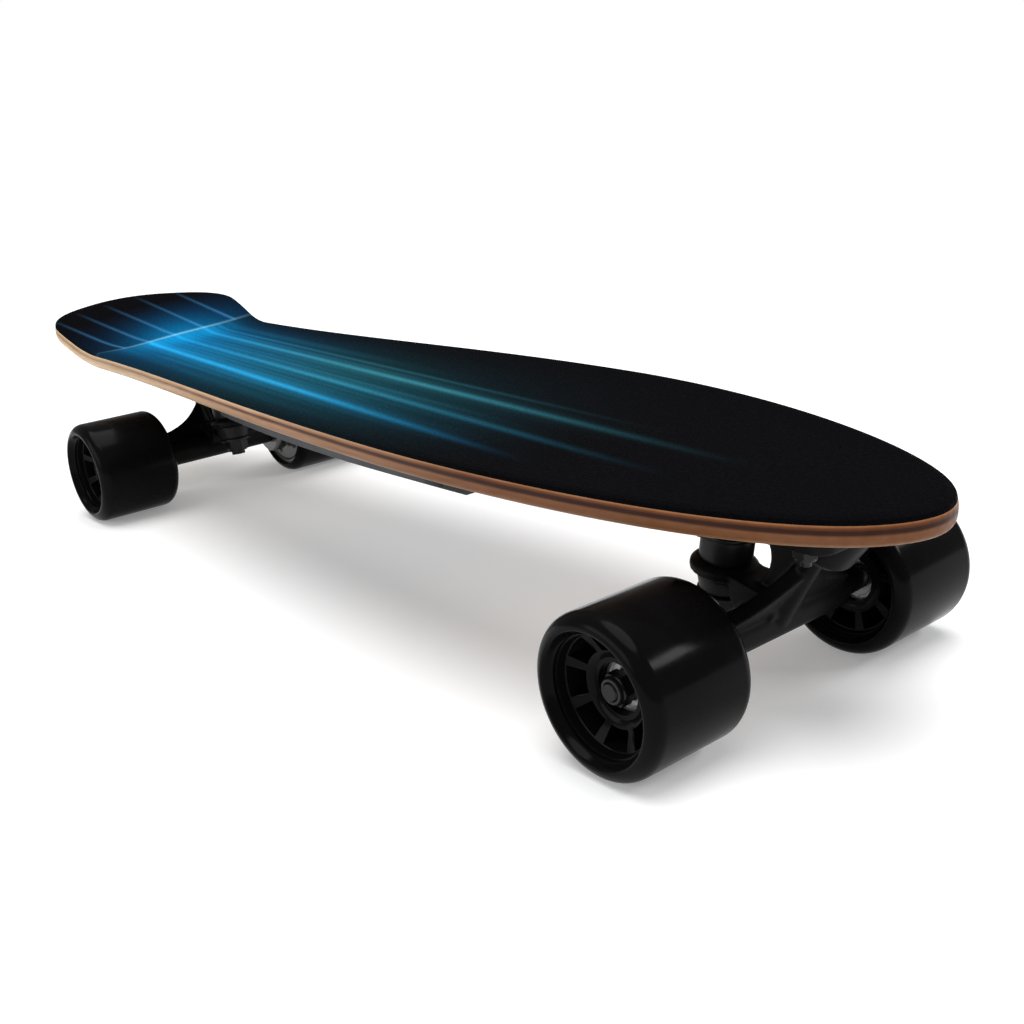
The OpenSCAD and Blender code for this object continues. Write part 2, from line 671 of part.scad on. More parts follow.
module enclosure_screws() color("silver") at_box_screws() difference() {
    union() {
        translate([0, 0, box_top_z - flange_t - 2.4]) cylinder(r1 = 2.6, r2 = 3.3, h = 2.4);
        translate([0, 0, box_top_z - flange_t - 0.1])
            cylinder(r = 1.7, h = screw_end_z - box_top_z + flange_t + 0.1);
    }
    translate([0, 0, box_top_z - flange_t - 3]) cylinder(r = 1.3, h = 2, $fn = 6);
}

module at_cells() for (x = cell_x, y = [-1 : 1])
    translate([x, y * cell_pitch, cell_z]) rotate([0, 90, 0]) children();

module battery_cells() color("royalblue") at_cells() {
    cylinder(r = cell_r, h = cell_len - 1.6);
    translate([0, 0, cell_len - 1.6]) cylinder(r = 3, h = 1.6);
}

module battery_holders() color("white") for (x = cell_x, end = [6, cell_len - 11]) difference() {
    intersection() {
        translate([x + end, -cell_pitch - cell_r - 1.2, cell_z - cell_r - 0.4])
            cube([5, 2 * (cell_pitch + cell_r + 1.2), cell_r + 3]);
        box_solid(box_wall + 0.3, box_top_z);
    }
    at_cells() translate([0, 0, -1]) cylinder(r = cell_r, h = cell_len + 2);
}

module battery_board() color("darkgreen") {
    translate([-35.5, -27, 69]) cube([1.6, 54, 16]);
    for (y = [-18, -3, 12]) translate([-38.5, y, 73]) cube([3, 6, 7]);
}

module controller_board() color("green") {
    translate([-123.5, -30, board_z]) cube([76, 60, 1.6]);
    for (y = [-24, -14, 14, 24]) translate([-55.5, y, board_z - 10]) cylinder(r = 4.5, h = 10);
    for (x = [-117.5, -107.5]) translate([x, 12, board_z - 5]) cube([6, 12, 5]);
}

module controller_heatsink() color("silver") {
    translate([-115.5, -22, board_z + 1.6]) cube([54, 44, 2]);
    for (k = [0 : 7]) translate([-115.5, -22 + k * 6, board_z + 3.6]) cube([54, 2, 4.4]);
}

switch_top_z = box_bottom_z + 12;
module power_switch() color("silver") translate([button_x, 0, 0]) {
    translate([0, 0, box_bottom_z - 1.2]) tube(10, button_r + play, 1.2);
    translate([0, 0, box_bottom_z]) tube(8, button_r + play, 9);
    translate([0, 0, box_bottom_z + 8.9]) cylinder(r = 8, h = switch_top_z - box_bottom_z - 8.9);
}

module power_button() color("#333333") translate([button_x, 0, box_bottom_z - 2.2]) difference() {
    cylinder(r = button_r, h = 8);
    translate([0, 0, -1]) tube(4.6, 3.8, 1.4);
}

module status_light() color("lime") translate([light_x, 0, box_bottom_z]) {
    cylinder(r = 1.5, h = 3.5);
    translate([0, 0, box_wall]) cylinder(r = 2.4, h = 1);
}

module charge_socket() color("#303030") translate([port_x, 0, box_bottom_z]) {
    difference() {
        union() {
            cylinder(r = port_r, h = 12);
            translate([0, 0, box_wall]) cylinder(r = port_r + 2, h = 2.5);
        }
        translate([0, 0, -1]) cylinder(r = 2.85, h = 11);
    }
    cylinder(r = 1, h = 10.5);
}

module charge_port_flap() color("#101010") {
    translate([0, 0, flap_axis_z - flap_t / 2]) {
        translate([port_x, 0, 0]) cylinder(r = 8, h = flap_t);
        translate([flap_hinge_x, -4, 0]) cube([10, 8, flap_t]);
    }
    translate([flap_hinge_x, 6, flap_axis_z]) rotate([90, 0, 0]) cylinder(r = flap_t / 2, h = 12);
}

module cable_gland() color("black") translate([box_mid_x - box_len / 2 + flange_in, 20, side_z + 4.5])
    rotate([0, 90, 0]) difference() {
        union() {
            translate([0, 0, -5]) cylinder(r = 4.2, h = 5);
            translate([0, 0, -0.1]) cylinder(r = 3, h = 4.5);
        }
        translate([0, 0, -6]) cylinder(r = 1.8, h = 14);
    }

// ---- Nodes ----------------------------------------------------------------------

on_deck() deck();
on_deck() grip_tape();
on_deck() deck_bolts();
deck_nuts();
at_front() riser_pad(front_x);  // front_riser_pad
at_front() baseplate();  // front_baseplate
at_front() pivot_cup();  // front_pivot_cup
at_front() kingpin();  // front_kingpin
at_front() kingpin_nut();  // front_kingpin_nut
at_front() upper_bushing();  // front_upper_bushing
at_front() lower_bushing();  // front_lower_bushing
at_front() bushing_washers();  // front_bushing_washers
at_rear() riser_pad(rear_x);  // rear_riser_pad
at_rear() baseplate();  // rear_baseplate
at_rear() pivot_cup();  // rear_pivot_cup
at_rear() kingpin();  // rear_kingpin
at_rear() kingpin_nut();  // rear_kingpin_nut
at_rear() upper_bushing();  // rear_upper_bushing
at_rear() lower_bushing();  // rear_lower_bushing
at_rear() bushing_washers();  // rear_bushing_washers
front_hanger();
front_axle();
front_axle_nuts();
front_wheel_spacers();
rear_hanger();
rear_axle();
rear_axle_nut();
rear_wheel_spacers();
front_right_tyre();
front_right_core();
front_right_bearings();
front_left_tyre();
front_left_core();
front_left_bearings();
rear_right_tyre();
rear_right_core();
rear_right_bearings();
motor_tyre();
motor_can();
motor_magnets();
motor_covers();
motor_cover_screws();
motor_bearings();
motor_axle();
motor_stator();
motor_windings();
on_deck() enclosure();
on_deck() enclosure_gasket();
on_deck() enclosure_screws();
on_deck() battery_cells();
on_deck() battery_holders();
on_deck() battery_board();
on_deck() controller_board();
on_deck() controller_heatsink();
on_deck() power_switch();
on_deck() power_button();
on_deck() status_light();
on_deck() charge_socket();
on_deck() charge_port_flap();
on_deck() cable_gland();
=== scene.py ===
"""Looks of the electric skateboard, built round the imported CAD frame.

Lengths in this script are in millimetres unless a name says otherwise; MM turns them into metres.
The frame is the CAD frame: +X to the nose, +Y to the rider's left, +Z up, origin on the ground.
"""

import math

import bmesh
import bpy
from mathutils import Matrix, Vector


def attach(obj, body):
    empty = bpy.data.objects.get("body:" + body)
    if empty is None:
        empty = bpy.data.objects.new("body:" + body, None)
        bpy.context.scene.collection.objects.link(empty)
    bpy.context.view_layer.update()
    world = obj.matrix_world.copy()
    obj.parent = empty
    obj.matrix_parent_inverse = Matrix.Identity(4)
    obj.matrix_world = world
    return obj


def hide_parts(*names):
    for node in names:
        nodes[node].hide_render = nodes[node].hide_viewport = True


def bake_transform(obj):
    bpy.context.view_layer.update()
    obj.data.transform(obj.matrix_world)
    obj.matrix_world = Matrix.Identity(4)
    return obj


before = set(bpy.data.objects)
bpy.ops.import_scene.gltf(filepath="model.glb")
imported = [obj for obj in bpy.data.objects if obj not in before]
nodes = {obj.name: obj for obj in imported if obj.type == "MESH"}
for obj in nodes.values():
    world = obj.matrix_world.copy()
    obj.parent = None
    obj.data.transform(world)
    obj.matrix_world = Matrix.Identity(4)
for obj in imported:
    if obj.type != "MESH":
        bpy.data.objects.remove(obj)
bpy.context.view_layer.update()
MM = 0.001

# ---- Dimensions that the looks share with the CAD model --------------------------------

HALF_LEN = 369.5
DECK_T = 10.7
GRIP_T = 1.0
DECK_TOP = 105.4
DECK_TILT = math.radians(0.718)
WIDEST_X = 120
WAIST_X = -268.5
WIDEST = 89.5
WAIST = 70
TAIL = 74
TAIL_CORNER = 41
NOSE_POWER = 1.96
TAIL_POWER = 1.96
FLAT_BAND = 27
CONCAVE = 0.00125
KICK_X = -268
KICK_R = 110
KICK_ANGLE = math.radians(17)
BOLT_SPAN = (53.975, 41.3)
PATTERN_X = 9
WHEEL_R = 35
WHEEL_W = 57
LIP_R = 7
RECESS_R = 28.5
TYRE_BORE = 26
MOTOR_BORE = 29.5
FRONT_X = 286
REAR_X = -236
WHEEL_Y = 77
KINGPIN_LEAN = math.radians(10)
RING_BACK = 24
RING_UP = 19.5
BUSHING_STEP = 1.2  # the soft rings have a point at least this often

MERGE = 0.001  # points closer than this are one point
AIM_HEIGHT = 0.06  # what the lights face, in metres above the ground

LEAN = Matrix.Rotation(DECK_TILT, 4, "Y")
ON_DECK = Matrix.Translation((0, 0, DECK_TOP)) @ LEAN @ Matrix.Translation((0, 0, -DECK_TOP))
OFF_DECK = ON_DECK.inverted()

# ---- Meshes ----------------------------------------------------------------------------


def mesh_object(name, points, faces, body=None, slot=None, replaces=(), material=None):
    """A smooth object from points in millimetres, riding on a body."""
    mesh = bpy.data.meshes.new(name)
    mesh.from_pydata([Vector(p) * MM for p in points], [], faces)
    made = bmesh.new()
    made.from_mesh(mesh)
    bmesh.ops.remove_doubles(made, verts=made.verts, dist=MERGE * MM)
    bmesh.ops.dissolve_degenerate(made, edges=made.edges, dist=MERGE * MM)
    bmesh.ops.recalc_face_normals(made, faces=made.faces)
    made.to_mesh(mesh)
    made.free()
    piece = bpy.data.objects.new(name, mesh)
    bpy.context.scene.collection.objects.link(piece)
    smooth(piece)
    place(piece, body, slot, replaces, material)
    return piece


def smooth(piece, angle=40):
    piece.data.shade_smooth()
    piece.data.set_sharp_from_angle(angle=math.radians(angle))


def place(piece, body, slot, replaces, material):
    if body:
        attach(piece, body)
    if replaces:
        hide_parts(*replaces)
    if material:
        piece.data.materials.clear()
        piece.data.materials.append(material)


def lathe(name, profile, to_world, segments=128, **more):
    """A solid of revolution: profile holds (radius, height) pairs round the local Z axis."""
    points, faces = [], []
    count = len(profile)
    for k in range(segments):
        turn = 2 * math.pi * k / segments
        points += [to_world @ Vector((r * math.cos(turn), r * math.sin(turn), h)) for r, h in profile]
    for k in range(segments):
        a, b = k * count, (k + 1) % segments * count
        faces += [(a + i, a + (i + 1) % count, b + (i + 1) % count, b + i) for i in range(count)]
    return mesh_object(name, points, faces, **more)


def arc(centre_r, centre_h, radius, start, end, steps=10):
    """Points of a round corner, with angles in degrees from the radial direction."""
    turns = [math.radians(start + (end - start) * k / steps) for k in range(steps + 1)]
    return [(centre_r + radius * math.cos(t), centre_h + radius * math.sin(t)) for t in turns]


def bevelled(node, width, material, segments=2, angle=35):
    """A CAD node that is kept, with its edges rounded and its material set."""
    piece = nodes[node]
    bevel = piece.modifiers.new("edges", "BEVEL")
    bevel.width = width * MM
    bevel.segments = segments
    bevel.limit_method = "ANGLE"
    bevel.angle_limit = math.radians(angle)
    bevel.harden_normals = True
    bevel.use_clamp_overlap = True
    weld = piece.modifiers.new("weld", "WELD")
    weld.merge_threshold = MERGE * MM
    piece.modifiers.move(1, 0)
    dress(node, material)


def dress(node, material):
    piece = nodes[node]
    piece.data.materials.clear()
    piece.data.materials.append(material)
    for face in piece.data.polygons:
        face.material_index = 0


def casting(node, voxel, passes, body, slot, material):
    """A cast part: the CAD solid with every edge and inner corner melted to a small radius."""
    piece = nodes[node].copy()
    piece.data = nodes[node].data.copy()
    piece.name = node.replace("_", "-") + "-cast"
    piece.parent = None
    for key in list(piece.keys()):
        del piece[key]
    bpy.context.scene.collection.objects.link(piece)
    remesh = piece.modifiers.new("remesh", "REMESH")
    remesh.mode = "VOXEL"
    remesh.voxel_size = voxel * MM
    soften = piece.modifiers.new("soften", "SMOOTH")
    soften.factor = 0.5
    soften.iterations = passes
    bake_modifiers(piece)
    piece.data.shade_smooth()
    place(piece, body, slot, (node,), material)
    return piece


def bake_modifiers(piece):
    depsgraph = bpy.context.evaluated_depsgraph_get()
    baked = bpy.data.meshes.new_from_object(piece.evaluated_get(depsgraph))
    piece.modifiers.clear()
    piece.data = baked


# ---- Materials -------------------------------------------------------------------------


class Look:
    """Short-hand for the nodes of one material. Keyword names are the shader's sockets."""

    def __init__(self, name, **sockets):
        self.material = bpy.data.materials.new(name)
        self.material.use_nodes = True
        self.tree = self.material.node_tree
        self.shader = self.tree.nodes["Principled BSDF"]
        for key, value in sockets.items():
            self.set(key, value)

    def set(self, key, value):
        self.put(self.shader.inputs[key.replace("_", " ")], value)

    def put(self, socket, value):
        if isinstance(value, bpy.types.NodeSocket):
            self.tree.links.new(value, socket)
        elif hasattr(socket.default_value, "__len__") and len(socket.default_value) == 4:
            socket.default_value = (*value[:3], 1)
        else:
            socket.default_value = value

    def node(self, kind, **settings):
        made = self.tree.nodes.new(kind)
        for key, value in settings.items():
            setattr(made, key, value)
        return made

    def math(self, operation, *values):
        made = self.node("ShaderNodeMath", operation=operation)
        for socket, value in zip(made.inputs, values):
            self.put(socket, value)
        return made.outputs[0]

    def place(self):
        """X, Y and Z on the object, in metres."""
        split = self.node("ShaderNodeSeparateXYZ")
        self.put(split.inputs[0], self.node("ShaderNodeTexCoord").outputs["Object"])
        return split.outputs

    def attribute(self, name):
        return self.node("ShaderNodeAttribute", attribute_name=name).outputs["Fac"]

    def stretched(self, stretch):
        """The position on the object, scaled along each axis."""
        mapping = self.node("ShaderNodeMapping")
        self.put(mapping.inputs["Vector"], self.node("ShaderNodeTexCoord").outputs["Object"])
        mapping.inputs["Scale"].default_value = stretch
        return mapping.outputs[0]

    def noise(self, scale, stretch=(1, 1, 1), detail=3, roughness=0.55):
        made = self.node("ShaderNodeTexNoise")
        self.put(made.inputs["Vector"], self.stretched(stretch))
        made.inputs["Scale"].default_value = scale
        made.inputs["Detail"].default_value = detail
        made.inputs["Roughness"].default_value = roughness
        return made.outputs[0]

    def cells(self, scale, stretch=(1, 1, 1)):
        made = self.node("ShaderNodeTexVoronoi")
        self.put(made.inputs["Vector"], self.stretched(stretch))
        made.inputs["Scale"].default_value = scale
        return made.outputs["Distance"]

    def range(self, value, low, high, to_low=0.0, to_high=1.0, smooth=False):
        made = self.node("ShaderNodeMapRange", interpolation_type="SMOOTHSTEP" if smooth else "LINEAR")
        for socket, number in zip(made.inputs, (value, low, high, to_low, to_high)):
            self.put(socket, number)
        return made.outputs[0]

    def ramp(self, value, *stops):
        made = self.node("ShaderNodeValToRGB")
        self.put(made.inputs[0], value)
        band = made.color_ramp
        while len(band.elements) < len(stops):
            band.elements.new(0.5)
        for element, (position, colour) in zip(band.elements, stops):
            element.position = position
            element.color = (*colour, 1)
        return made.outputs[0]

    def mix(self, factor, a, b, blend="MIX"):
        made = self.node("ShaderNodeMix", data_type="RGBA", blend_type=blend)
        self.put(made.inputs[0], factor)
        self.put(made.inputs[6], a)
        self.put(made.inputs[7], b)
        return made.outputs[2]

    def total(self, parts):
        out = parts[0]
        for part in parts[1:]:
            out = self.math("ADD", out, part)
        return out

    def bump(self, height, distance):
        """Relief from a height of 0 to 1, this many millimetres deep."""
        made = self.node("ShaderNodeBump")
        made.inputs["Strength"].default_value = 1.0
        made.inputs["Distance"].default_value = distance * MM
        self.put(made.inputs["Height"], height)
        self.set("Normal", made.outputs[0])

    def bell(self, value, centre, width):
        """1 at the centre, falling off as a Gaussian with this half width."""
        away = self.math("DIVIDE", self.math("SUBTRACT", value, centre), width)
        square = self.math("MULTIPLY", away, away)
        return self.math("EXPONENT", self.math("MULTIPLY", square, -1.0))


def grained(name, dark, light, rough, grain, bump, stretch=(1, 1, 1), **sockets):
    """A surface with fine grain: colour and roughness drift on a broad scale, and the grain is relief."""
    look = Look(name, **sockets)
    drift = look.noise(grain / 12, stretch)
    look.set("Base_Color", look.ramp(drift, (0.3, dark), (0.7, light)))
    fine = look.noise(grain, stretch, detail=4)
    look.set("Roughness", look.range(drift, 0.3, 0.7, *rough))
    look.bump(fine, bump)
    return look.material


def grey(level, blue=1.0):
    return (level, level, level * blue)


def maple_look():
    """Seven ply layers on the edge, veneer below, their colours with painted light and shade: 'depth' runs
    from 0 at the top to 1 at the underside.
    """
    look = Look("maple", Specular_IOR_Level=0.15)
    depth = look.attribute("depth")
    along = look.place()[0]
    wobble = look.math("MULTIPLY", look.math("SUBTRACT", look.noise(9, (1, 4, 30)), 0.5), 0.06)
    wavy = look.math("ADD", depth, wobble)
    # Painted light and shade: the three ramps are lit and shaded copies of one ply stack, lightest at the
    # tail and darkest at the nose. The pale band at depth 0 is the top ply's colour with a painted
    # highlight along the top of the rounded edge.
    tail_plies_and_light = look.ramp(
        wavy, (0.0, (0.72, 0.56, 0.38)), (0.14, (0.66, 0.49, 0.31)), (0.3, (0.42, 0.27, 0.15)),
        (0.4, (0.27, 0.155, 0.08)), (0.48, (0.42, 0.28, 0.16)), (0.75, (0.66, 0.48, 0.3)),
        (0.9, (0.56, 0.42, 0.27)), (1.0, (0.34, 0.24, 0.15)))
    waist_plies_and_light = look.ramp(
        wavy, (0.0, (0.84, 0.7, 0.52)), (0.16, (0.62, 0.42, 0.26)), (0.3, (0.42, 0.22, 0.1)),
        (0.38, (0.07, 0.016, 0.005)), (0.46, (0.07, 0.017, 0.006)), (0.56, (0.36, 0.19, 0.09)),
        (0.8, (0.27, 0.15, 0.075)), (1.0, (0.26, 0.17, 0.1)))
    nose_plies_and_light = look.ramp(
        wavy, (0.0, (0.56, 0.33, 0.18)), (0.12, (0.42, 0.2, 0.085)), (0.24, (0.15, 0.048, 0.014)),
        (0.36, (0.028, 0.006, 0.002)), (0.47, (0.028, 0.007, 0.002)), (0.56, (0.17, 0.066, 0.025)),
        (0.82, (0.15, 0.058, 0.022)), (1.0, (0.24, 0.14, 0.08)))
    # Blends the lit and shaded copies from tail to nose: painted light and shade along the edge.
    plies_and_light = look.mix(look.range(along, -0.24, -0.02), tail_plies_and_light, waist_plies_and_light)
    plies_and_light = look.mix(look.range(along, -0.02, 0.19), plies_and_light, nose_plies_and_light)
    grain = look.noise(60, (0.5, 6, 6), detail=5)
    darker = look.mix(1.0, plies_and_light, (0.72, 0.66, 0.6), blend="MULTIPLY")
    look.set("Base_Color", look.mix(look.range(grain, 0.35, 0.7, 0.0, 0.55), plies_and_light, darker))
    look.set("Roughness", look.range(grain, 0.3, 0.7, 0.35, 0.55))
    look.bump(look.noise(160, (0.2, 4, 4), detail=4), 0.05)
    return look.material


# The printed glow: a bright curve across the tail, from which streaks run to the nose. A streak has a
# place across the board, a half width, the station where it has faded out, and a strength.
GLOW_CURVE = (-287, -0.2, 0.0013)
STREAK_DRIFT = 0.062
STREAK_SPREAD = 0.00045
STREAKS = [
    (-23, 2.8, 210, 0.62),
    (-22, 8, 170, 0.28),
    (0.8, 2.4, 270, 0.36),
    (3, 7, 200, 0.12),
    (26.5, 2.6, 290, 0.38),
    (26, 8, 230, 0.13),
    (39, 1.8, 230, 0.17),
    (48, 4, 60, 0.08),
    (33, 1.8, 100, 0.1),
    (20, 1.6, 70, 0.08),
    (14, 1.5, 90, 0.1),
    (9, 1.6, 180, 0.12),
    (-6, 1.8, 150, 0.12),
    (-11, 1.6, 110, 0.12),
    (-16, 1.4, 90, 0.1),
    (-31, 2.2, 150, 0.1),
    (-37, 2.4, 120, 0.1),
    (-46, 5, 130, 0.06),
]
STREAK_FADE = 290  # a streak dims over this length
STREAK_GAIN = 0.9
RAYS = [55, 27, 0.8, -22.7, -44]


def grip_look():
    """Black abrasive sheet printed with a glow at the tail and streaks that fade towards the nose."""
    look = Look("grip", IOR=1.12, Specular_IOR_Level=0.2)
    x, y, _ = look.place()
    x = look.math("DIVIDE", x, MM)
    y = look.math("DIVIDE", y, MM)
    start, slant, bow = GLOW_CURVE
    bent = look.math("MULTIPLY", y, look.math("ADD", look.math("MULTIPLY", y, bow), slant))
    from_glow = look.math("SUBTRACT", x, look.math("ADD", bent, start))
    ahead = look.range(from_glow, -2, 5, smooth=True)
    run = look.math("MAXIMUM", from_glow, 0)
    spread = look.math("ADD", look.math("MULTIPLY", run, STREAK_SPREAD), 1.0)
    across = look.math("DIVIDE", look.math("ADD", y, look.math("MULTIPLY", run, STREAK_DRIFT)), spread)

    streaks = []
    for place_across, width, end, strength in STREAKS:
        fade = look.range(x, end, end - STREAK_FADE, 0.0, STREAK_GAIN * strength, smooth=True)
        streaks.append(look.math("MULTIPLY", look.bell(across, place_across, width), fade))
    fibres = look.range(look.noise(30, (0.04, 1, 1), detail=4), 0.3, 0.72, 0.6, 1.3)
    bright = look.math("MULTIPLY", look.math("MULTIPLY", look.total(streaks), fibres), ahead)
    near = look.range(x, -130, -290, 0.0, 0.13, smooth=True)
    far = look.range(x, 200, -190, 0.0, 0.28, smooth=True)
    haze = look.math("MULTIPLY", look.bell(across, -6, 46), look.math("ADD", near, far))
    haze = look.math("MULTIPLY", look.math("MULTIPLY", haze, fibres), ahead)

    behind = look.math("SUBTRACT", 1.0, look.range(from_glow, -3, 3, smooth=True))
    rays = []
    for place_across in RAYS:
        lean = 0.318 - 0.0011 * place_across
        swept = look.math("SUBTRACT", y, look.math("MULTIPLY", from_glow, lean))
        rays.append(look.bell(swept, place_across, 1.6))
    ray_fade = look.range(from_glow, -78, 0, 0.0, 0.26)
    rays = look.math("MULTIPLY", look.math("MULTIPLY", look.total(rays), ray_fade), behind)
    line = look.math("MULTIPLY", look.bell(from_glow, 0, 1.8), look.bell(y, 4, 50))
    halo = look.math("MULTIPLY", look.bell(from_glow, 6, 24), look.bell(y, 4, 36))
    tail_haze = look.math("MULTIPLY", look.range(from_glow, -62, 0, 0.0, 0.2, smooth=True), behind)
    tail_haze = look.math("MULTIPLY", tail_haze, look.bell(y, 10, 56))

    teal = look.math("MULTIPLY", look.range(x, -280, -70), look.range(across, -22, 18))
    streak_colour = look.mix(teal, (0.02, 0.36, 0.72), (0.06, 0.36, 0.46))
    haze_colour = look.mix(look.range(x, -260, -40), (0.0, 0.3, 0.74), (0.02, 0.3, 0.42))
    paint = (0.0022, 0.0022, 0.003)
    for amount, colour in (
        (haze, haze_colour),
        (tail_haze, (0.0, 0.22, 0.62)),
        (bright, streak_colour),
        (look.math("MULTIPLY", halo, 0.3), (0.0, 0.4, 0.8)),
        (rays, (0.12, 0.5, 1.0)),
        (look.math("MULTIPLY", line, 0.42), (0.35, 0.8, 1.0)),
    ):
        scaled = look.node("ShaderNodeVectorMath", operation="SCALE")
        look.put(scaled.inputs[0], colour)
        look.put(scaled.inputs["Scale"], amount)
        paint = look.mix(1.0, paint, scaled.outputs[0], blend="ADD")
    grit = look.noise(900, detail=2, roughness=0.7)
    look.set("Base_Color", look.mix(look.range(grit, 0.35, 0.68, 0.3, 0.0), paint, (0, 0, 0)))
    look.set("Roughness", look.range(grit, 0.3, 0.7, 0.95, 0.6))
    look.bump(look.math("ADD", grit, look.cells(700)), 0.2)
    return look.material


def urethane_look(name, level):
    look = Look(name, IOR=1.12)
    scuff = look.noise(30, detail=5, roughness=0.65)
    look.set("Base_Color", look.ramp(scuff, (0.35, grey(level, 1.1)), (0.7, grey(level * 1.5, 1.1))))
    look.set("Roughness", look.range(scuff, 0.35, 0.7, 0.14, 0.22))
    look.bump(look.noise(9, detail=2), 0.12)
    return look.material


def turned_look(name, dark, light, rough, **sockets):
    """Machined metal: fine lathe lines across the axle, which runs along Y."""
    return grained(name, dark, light, rough, 700, 0.02, stretch=(0.15, 3, 0.15), Metallic=1.0, **sockets)


def board_look():
    look = Look("circuit_board", Coat_Weight=0.5, Coat_Roughness=0.15)
    traces = look.range(look.cells(380, (1, 0.35, 1)), 0.05, 0.09)
    pads = look.range(look.cells(150), 0.1, 0.14)
    mask = look.mix(traces, (0.03, 0.2, 0.1), (0.012, 0.09, 0.04))
    look.set("Base_Color", look.mix(pads, (0.62, 0.5, 0.2), mask))
    look.set("Roughness", look.range(look.noise(90), 0.3, 0.7, 0.3, 0.5))
    look.bump(traces, 0.03)
    return look.material


def wrap_look():
    look = Look("cell_wrap", Coat_Weight=0.6, Coat_Roughness=0.2)
    creases_and_shade = look.noise(120, (0.2, 1, 1), detail=4)
    # Painted shade: the wrap is darker in the hollows of the crease relief and lighter on its ridges.
    look.set("Base_Color", look.ramp(creases_and_shade, (0.3, (0.01, 0.08, 0.26)), (0.7, (0.02, 0.14, 0.38))))
    look.set("Roughness", look.range(creases_and_shade, 0.3, 0.7, 0.25, 0.45))
    look.bump(creases_and_shade, 0.08)
    return look.material


def light_look():
    look = Look("light_lens", Transmission_Weight=0.35, Emission_Strength=0.6, Emission_Color=(0.1, 1, 0.3))
    look.set("Base_Color", look.ramp(look.noise(900), (0.3, (0.1, 0.7, 0.2)), (0.7, (0.2, 0.9, 0.35))))
    look.set("Roughness", look.range(look.noise(400), 0.3, 0.7, 0.1, 0.2))
    return look.material


maple = maple_look()
grip = grip_look()
wheel_urethane = urethane_look("wheel_urethane", 0.0025)
core_plastic = urethane_look("core_plastic", 0.003)
black_cast = grained("black_cast", grey(0.003), grey(0.006), (0.34, 0.46), 420, 0.05, IOR=1.15)
black_steel = grained("black_steel", grey(0.005), grey(0.01), (0.28, 0.42), 600, 0.02, IOR=1.3)
zinc = turned_look("zinc_steel", grey(0.2), grey(0.3), (0.22, 0.38))
black_zinc = grained("black_zinc", grey(0.012), grey(0.024), (0.25, 0.4), 500, 0.02, Metallic=0.7, IOR=1.3)
riser = grained("riser_rubber", grey(0.006), grey(0.011), (0.7, 0.9), 300, 0.08, IOR=1.25)
cup = grained("cup_plastic", grey(0.008), grey(0.014), (0.4, 0.55), 400, 0.03, IOR=1.3)
upper_bush = grained("upper_urethane", grey(0.006), grey(0.011), (0.35, 0.5), 250, 0.04, IOR=1.25)
lower_bush = grained("lower_urethane", grey(0.007), grey(0.013), (0.35, 0.5), 250, 0.04, IOR=1.25)
motor_steel = turned_look("motor_steel", grey(0.16), grey(0.24), (0.28, 0.42))
motor_alloy = turned_look("motor_alloy", grey(0.12), grey(0.2), (0.25, 0.4))
magnet = grained("magnet", grey(0.4), grey(0.5), (0.25, 0.35), 500, 0.02, Metallic=1.0)
copper = grained("copper", (0.42, 0.14, 0.04), (0.62, 0.24, 0.08), (0.25, 0.4), 900, 0.12,
                 stretch=(1, 0.2, 1), Metallic=0.9)
box_plastic = grained("box_plastic", (0.008, 0.01, 0.014), (0.012, 0.016, 0.022), (0.42, 0.6), 800, 0.08)
holder = grained("holder_plastic", grey(0.45), grey(0.55), (0.5, 0.65), 300, 0.04)
circuit_board = board_look()
cell_wrap = wrap_look()
heatsink = grained("heatsink_alloy", grey(0.5), grey(0.62), (0.3, 0.45), 500, 0.03,
                   stretch=(0.05, 2, 2), Metallic=1.0)
switch_metal = turned_look("switch_metal", grey(0.03), grey(0.05), (0.25, 0.38))
button = grained("button_plastic", grey(0.012), grey(0.02), (0.25, 0.4), 500, 0.03)
light_lens = light_look()
socket_plastic = grained("socket_plastic", grey(0.012), grey(0.02), (0.45, 0.6), 500, 0.04)
flap_rubber = grained("flap_rubber", grey(0.014), grey(0.022), (0.6, 0.8), 500, 0.06)

# ---- Deck ------------------------------------------------------------------------------

EDGE_ROUND = 3.4
EDGE_POWER = 2.8
GRIP_INSET = 0.5
OUTLINE_STEP = 3.0
CURVE_STEPS = 70
BLEND_STEPS = 60
WAIST_POWER = 0.95
CORE_RINGS = 16
GRIP_RINGS = 22
EDGE_STEPS = 14
SPINE_FROM_TAIL = 62
SPINE_FROM_NOSE = 92
BOLT_HOLE_R = 2.7
BOLT_HEAD_R = 5.1
HEAD_TOP = 0.4  # depths of the countersink's two ends below the deck's top face
HEAD_FOOT = 3.4
CUTTER_LOW = 60
CUTTER_HIGH = 120
CUTTER_SEGMENTS = 40
GRIP_UNDER = 0.2  # the sheet's hidden underside lies this far inside the deck


def half_outline():
    """The right half of the plan, from the nose's tip to the middle of the tail."""
    quarter = [math.pi / 2 * k / CURVE_STEPS for k in range(CURVE_STEPS + 1)]
    nose = [(WIDEST_X + (HALF_LEN - WIDEST_X) * math.cos(a) ** (2 / NOSE_POWER),
             WIDEST * math.sin(a) ** (2 / NOSE_POWER)) for a in quarter]
    shares = [k / BLEND_STEPS for k in range(1, BLEND_STEPS + 1)]
    blends = [(t, 0.5 * (1 - math.cos(math.pi * t))) for t in shares]
    middle = [(WIDEST_X + (WAIST_X - WIDEST_X) * t,
               WAIST + (WIDEST - WAIST) * (1 - b) ** WAIST_POWER) for t, b in blends]
    flare_end = -HALF_LEN + TAIL_CORNER
    flare = [(WAIST_X + (flare_end - WAIST_X) * t, WAIST + (TAIL - WAIST) * b) for t, b in blends[:-1]]
    tail = [(-HALF_LEN + TAIL_CORNER * (1 - max(0, math.cos(a)) ** (2 / TAIL_POWER)),
             TAIL * max(0, math.sin(a)) ** (2 / TAIL_POWER)) for a in reversed(quarter)]
    return nose + middle + flare + tail


